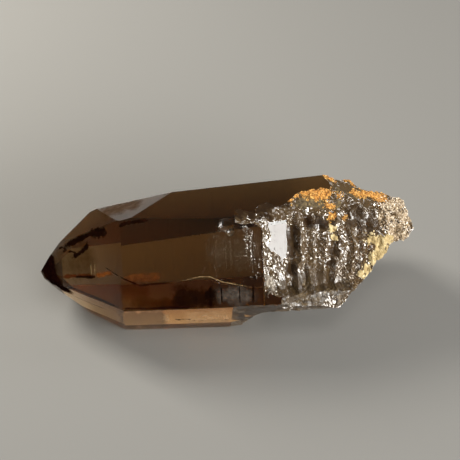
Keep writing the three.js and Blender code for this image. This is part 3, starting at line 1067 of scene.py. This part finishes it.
# %% Films of the tip
EDGE_SHADOW = [
    (-30.4, 0.2, 14.4), (-28.0, -0.8, 16.4), (-25.2, -2.0, 18.9), (-23.2, -2.9, 20.6),
    (-21.4, -3.9, 21.2)]
EDGE_SHADE_WEDGE = [(-24.6, -2.0, 19.6), (-22.9, -3.2, 20.6), (-20.6, -4.3, 21.6)]
HOOK = [
    (-24.9, -2.4, 18.9), (-24.9, -3.1, 17.5), (-26.1, -2.9, 16.0), (-27.3, -2.5, 14.9),
    (-28.0, -2.3, 14.0)]
SQUIGGLE_LEFT = [(-30.8, 0.2, 14.0), (-29.6, -0.2, 15.2), (-28.9, -0.9, 15.1), (-30.0, -0.6, 13.9)]
SQUIGGLE_RIGHT = [(-28.9, -1.2, 14.6), (-27.9, -1.6, 15.3), (-27.0, -2.4, 15.4), (-27.5, -2.4, 14.8)]
face_strips(TIP_FRONT, [
    ("edge_shadow", maroon_crack_shade, 1.3, ON_FACE, EDGE_SHADOW),
    ("edge_shade_wedge", maroon_crack_shade, 2.3, 4 * FILM, EDGE_SHADE_WEDGE),
    ("hook", maroon_crack_shade, 1.0, ON_FACE, HOOK),
    ("squiggle_left", maroon_crack_shade, 0.5, 4 * FILM, SQUIGGLE_LEFT),
    ("squiggle_right", maroon_crack_shade, 0.5, 4 * FILM, SQUIGGLE_RIGHT),
    ("tip_shadow", wine_shade, 2.0, 3 * FILM, [(-31.7, 0.8, 13.5), (-31.8, -0.4, 11.2), (-31.6, -1.9, 8.8)]),
    ("tip_olive_shade", olive, 10.0, UNDERCOAT, [(-34.6, 0.8, 9.0), (-28.0, -2.6, 13.8), (-22.0, -6.0, 17.5)]),
])

# %% [markdown]
# ## The streak and the edges of the tip
# A streak runs back along the lower third of the tip, dark at first and then amber, and two fine pale
# uprights of painted highlight cross it.
# The edges of the tip are darkened by thin lines of painted shade, and the very end is painted shade in
# dark wine; the frosted bevel on top is browner at its tip end.

# %% The streak and the edges of the tip
STREAK_DARK = [(-28.4, -3.7, 11.0), (-26.6, -4.8, 11.9), (-24.8, -6.0, 12.7), (-23.0, -7.0, 13.6)]
STREAK_EMBER = [(-31.1, -2.1, 9.6), (-28.4, -3.7, 11.2), (-25.6, -5.4, 12.6), (-21.9, -7.7, 14.2)]
STREAK_AMBER = [(-24.4, -6.2, 13.1), (-22.9, -7.1, 14.0), (-21.5, -7.7, 14.9), (-20.0, -8.6, 15.4)]
TIP_EDGE_SHADE = [
    (-31.0, -2.6, 9.0), (-28.2, -4.9, 9.3), (-25.0, -7.6, 9.8), (-21.4, -10.6, 10.1),
    (-18.6, -12.8, 10.4)]
BEVEL_LEFT = [(-24.0, -0.5, 22.0), (-19.0, 0.5, 22.8), (-13.0, 1.5, 23.9)]
SLIVER_SHADE = [
    (-30.0, -1.6, 5.7), (-27.0, -3.9, 5.6), (-25.2, -5.6, 6.1), (-23.4, -7.3, 6.5),
    (-20.6, -10.0, 7.2)]
face_strips(TIP_FRONT, [
    ("streak_dark", maroon_crack_shade, 0.55, ON_FACE, STREAK_DARK),
    ("streak_ember", ember, 0.9, 2 * FILM, STREAK_EMBER),
    ("streak_amber", amber, 1.3, 4 * FILM, STREAK_AMBER),
    ("tip_edge_shade", wine_shade, 0.45, 0.05, TIP_EDGE_SHADE),
    ("upright_highlight_left", glint_highlight, 0.26, 6 * FILM, [(-24.4, -4.8, 15.2), (-24.5, -6.3, 12.9)]),
    ("upright_highlight_right", glint_highlight, 0.2, 6 * FILM, [(-23.7, -5.2, 15.8), (-23.8, -6.5, 13.3)]),
])
# The end facet gets a film of painted shade in dark wine, wrapped over its edges.
face_strips(END_FACET, [
    ("end_shadow", wine_shade, 5.6, ON_FACE, [(-35.0, 2.4, 13.5), (-32.4, -1.5, 9.4), (-28.9, -6.8, 4.1)]),
])
face_strips(TIP_LOWER, [("sliver_shade_line", wine_shade, 0.3, 0.05, SLIVER_SHADE)])
face_strips(FROSTED_BEVEL, [("bevel_brown", bark, 7.0, ON_FACE, BEVEL_LEFT)])

# %% [markdown]
# ## The upper level of the front face
# An amber veil carries the streak on along the growth step, a maroon film of painted shade darkens the
# upper edge, and a thin dusty veil greys the right half.

# %% The upper level of the front face
BAND_AMBER = [(-20.2, -9.4, 14.9), (-17.0, -10.1, 15.2), (-14.2, -10.3, 15.4), (-10.6, -10.3, 15.9)]
UPPER_EDGE_SHADE = [(-19.6, -4.9, 22.9), (-17.9, -5.0, 23.9), (-15.3, -5.0, 24.2), (-12.8, -5.2, 24.3)]
DUSTY = [(-6.0, -8.0, 19.5), (-1.0, -8.3, 19.5), (4.0, -8.5, 19.5), (8.0, -8.7, 19.5)]
face_strips(FRONT_UPPER, [
    ("band_amber", amber, 2.4, 0.5, BAND_AMBER),
    ("upper_edge_shade", maroon_crack_shade, 0.9, ON_FACE, UPPER_EDGE_SHADE),
    ("dusty_film", dust, 10.0, 0.2, DUSTY),
])

# %% [markdown]
# ## The foot of the front face
# Below the growth step the face is darkened with painted shade, first dark orange and then nearly black,
# and a thin line of painted shade darkens its lower edge. Farther right the painted shade gives way to a
# slate cloud that four upright bands of painted shade cut.

# %% The foot of the front face
FOOT_ORANGE_SHADE = [(-20.9, -10.4, 13.4), (-17.0, -10.8, 13.0), (-13.0, -11.2, 12.9)]
BODY_SHADE = [(-12.2, -11.5, 12.1), (-8.1, -12.1, 12.0), (-4.5, -12.4, 12.0), (-1.0, -12.7, 12.0)]
FOOT_SHADE = [(-20.0, -12.0, 11.2), (-14.4, -12.4, 11.2), (-10.0, -12.8, 11.3), (-6.0, -12.9, 11.3)]
GREY_CLOUD = [(-4.6, -12.4, 12.5), (-1.1, -12.7, 12.5), (1.5, -12.9, 12.4), (6.6, -13.2, 12.3)]
FRONT_EDGE_SHADE = [
    (-20.6, -12.2, 10.5), (-18.3, -12.4, 10.5), (-14.4, -12.8, 10.5), (-9.1, -13.1, 10.7),
    (-3.0, -13.4, 10.9)]
SHADE_BANDS = [(-3.7, 0.5), (-1.7, 0.35), (1.5, 0.25), (3.9, 0.5)]
face_strips(FRONT_FOOT, [
    ("foot_orange_shade", orange_shade, 5.0, 1 * FILM, FOOT_ORANGE_SHADE),
    ("grey_cloud", slate, 4.4, 2 * FILM, GREY_CLOUD),
    ("foot_shade", dusk_shade, 2.6, 3 * FILM, FOOT_SHADE),
    ("body_shade", ink_shade, 5.4, 4 * FILM, BODY_SHADE),
    ("front_edge_shade", wine_shade, 0.45, 6 * FILM, FRONT_EDGE_SHADE),
])
for number, (along, wide) in enumerate(SHADE_BANDS):
    upright = [(along, -11.7, 14.6), (along, -12.8, 12.6), (along, -13.8, 10.6)]
    face_strip("shade_band_%d" % number, ink_shade, FRONT_FOOT, upright, wide, 5 * FILM)

# %% [markdown]
# ## The line of the growth step
# The long wavy line is a painted shadow of the step at first, in dark wine, and then a painted highlight
# in cream.
# Its parts lie within a few hundredths of a millimetre of the face, as a real step would.

# %% The line of the growth step
TIP_STEP_SHADOW = [(-22.3, -6.5, 15.7), (-20.8, -8.1, 15.5), (-19.2, -9.7, 15.4)]
STEP_SHADOW_PATH = [
    (-20.4, -9.0, 15.8), (-19.4, -9.4, 15.4), (-17.7, -10.2, 14.9), (-15.9, -10.5, 14.1),
    (-14.2, -10.5, 14.3), (-11.0, -10.7, 14.5), (-8.8, -10.8, 14.9)]
STEP_HIGHLIGHT_PATH = [
    (-8.9, -10.9, 14.9), (-7.1, -10.9, 15.3), (-5.3, -10.8, 15.6), (-3.6, -11.0, 15.6),
    (-1.5, -11.6, 14.8), (1.6, -12.2, 14.3), (5.1, -12.5, 13.6)]
face_strip("step_shadow_on_tip", wine_shade, TIP_FRONT, TIP_STEP_SHADOW, 0.22, 0.02)
face_strip("step_shadow", wine_shade, FRONT_UPPER, STEP_SHADOW_PATH, 0.34, 0.0)
face_strip("step_highlight", cream_highlight, FRONT_UPPER, STEP_HIGHLIGHT_PATH, 0.17, -0.03)

# %% [markdown]
# ## Veil and films of the lower strip
# The left end of the bright strip is browner than the rest, and the right end is paler.
# A caramel veil of painted shade behind the one and a peach film of painted light on the other do that,
# while the strip keeps its one plane. A narrow pale pane of painted light stands where they meet.

# %% Veil and films of the lower strip
STRIP_LEFT = [(-22.0, -10.0, 5.3), (-17.2, -10.0, 5.3), (-13.0, -10.0, 5.2), (-10.2, -10.2, 5.2)]
STRIP_RIGHT = [(-10.6, -10.6, 5.2), (-6.0, -10.8, 5.4), (-2.0, -11.0, 5.5), (3.0, -11.2, 5.6)]
LIGHT_PANE = [(-11.5, -12.4, 8.6), (-11.5, -10.6, 5.6), (-11.5, -9.2, 3.2)]
face_strips(FRONT_LOWER, [
    ("strip_brown_shade", caramel_shade, 15.0, 0.3, STRIP_LEFT),
    ("strip_peach_light", peach_light, 12.0, 1 * FILM, STRIP_RIGHT),
    ("pale_pane_light", peach_light, 1.7, 2 * FILM, LIGHT_PANE),
])

# %% [markdown]
# ## Specks
# Tiny flakes catch the light in an arc on the front face, where an old shock ran through; their pale
# colour is a painted glint as well.
# Finer ones are strewn thinly over the right half, and a few dark dots sit on the strip.
# They are grains like those of the crusts, only allowed on the grown faces as well.

# %% Specks and dots
ARC = [
    ((2.6, -2.3, 24.4), 0.6), ((2.8, -4.4, 23.8), 0.7), ((2.9, -7.1, 23.0), 0.7),
    ((3.3, -8.3, 21.3), 0.7), ((4.0, -9.0, 20.0), 0.8), ((5.0, -9.8, 18.9), 0.8),
    ((5.8, -10.3, 18.2), 0.8), ((6.4, -8.0, 20.8), 0.9), ((6.5, -8.6, 19.0), 0.8),
    ((6.2, -5.7, 23.5), 0.9), ((-2.7, -4.6, 24.6), 0.5),
]
FINE_SPECKS = [((3.0, -9.5, 19.0), 5.0), ((-2.0, -9.5, 18.5), 5.0), ((4.5, -11.5, 15.5), 2.5)]
DOTS = [((-8.2, -10.1, 4.8), 0.25), ((-7.2, -10.3, 5.0), 0.2), ((-3.4, -11.5, 6.8), 0.25)]
SPECK_GLINT_TONES = ((0.4, 0.36, 0.3), (0.66, 0.62, 0.56), (0.9, 0.88, 0.84))
DOT_TONES = ((0.01, 0.006, 0.004), (0.03, 0.018, 0.01), (0.06, 0.04, 0.02))
speck_glint = mineral("speck_painted_glint", *SPECK_GLINT_TONES, 0.4, 0.15, coat=1.0)
dot = mineral("dark_dot", *DOT_TONES, 0.4, 0.6)
scatter("bright_specks", speck_glint, ARC, 170, (0.04, 0.15), 21, flat=0.4, anywhere=True)
scatter("fine_specks", speck_glint, FINE_SPECKS, 90, (0.02, 0.06), 22, flat=0.4, anywhere=True)
scatter("dark_dots", dot, DOTS, 8, (0.14, 0.34), 23, flat=0.3, anywhere=True)

# %% [markdown]
# ## Hand over
# The quartz point takes the place of the CAD node and rides with it.
# Light has to pass many faces in clear quartz, so the paths may be long.
# Every colour is meant as it is given, so the view stays plain and adds no film look.

# %% Finish
MANY_BOUNCES = 24
GLOSSY_BOUNCES = 8
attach(crystal, "root")
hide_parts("crystal")

scene.cycles.max_bounces = MANY_BOUNCES
scene.cycles.transmission_bounces = MANY_BOUNCES
scene.cycles.glossy_bounces = GLOSSY_BOUNCES
scene.cycles.transparent_max_bounces = MANY_BOUNCES
scene.cycles.use_denoising = True
scene.view_settings.view_transform = "Standard"

for label, (low, high) in (("CAD model", frame_box), ("visual model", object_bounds())):
    print(label, "%.2f x %.2f x %.2f mm" % tuple((b - a) / MM for a, b in zip(low, high)))
